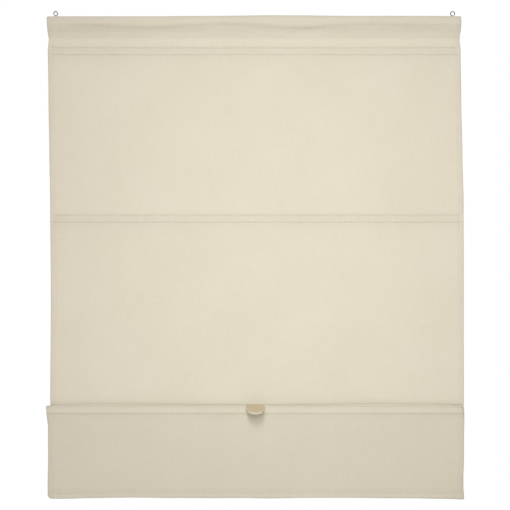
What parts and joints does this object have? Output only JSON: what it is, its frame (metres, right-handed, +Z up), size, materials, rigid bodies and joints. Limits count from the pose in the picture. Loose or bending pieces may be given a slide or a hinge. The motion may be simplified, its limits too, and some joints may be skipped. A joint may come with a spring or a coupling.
{
  "type": "roman blind",
  "caption": "Flat cotton Roman blind hung by screw eyes on its header rod, with its lowest fold raised and a small round-fronted wooden handle at the crease.",
  "frame": {"origin": "middle of the header's flat back, where it lies against the wall, at the height of the rod's axis", "axes": "+X to the right across the width as seen from the room, +Y into the wall, +Z up"},
  "size_m": [1, 0.0469, 1.1793],
  "materials": {
    "cotton": "unbleached plain weave",
    "tape": "cotton tape",
    "pine": "planed",
    "beech": "oiled",
    "steel": "rolled strip",
    "glass_fibre": "matt",
    "magnet": "nickel plated",
    "zinc": "zinc plated"
  },
  "bodies": {
    "root": {"shade_cloth": "cotton", "pocket_tape_1": "tape", "pocket_tape_2": "tape", "pocket_tape_3": "tape", "pocket_tape_4": "tape", "top_rod": "pine", "batten_1": "glass_fibre", "batten_2": "steel", "batten_3": "glass_fibre", "batten_4": "steel", "magnet_1_a": "magnet", "magnet_1_b": "magnet", "magnet_1_c": "magnet", "magnet_1_d": "magnet", "magnet_3_a": "magnet", "magnet_3_b": "magnet", "magnet_3_c": "magnet", "magnet_3_d": "magnet", "screw_eye_left": "zinc", "screw_eye_right": "zinc", "handle": "beech", "handle_plate": "zinc", "handle_screw_left": "zinc", "handle_screw_right": "zinc"}
  },
  "joints": []
}
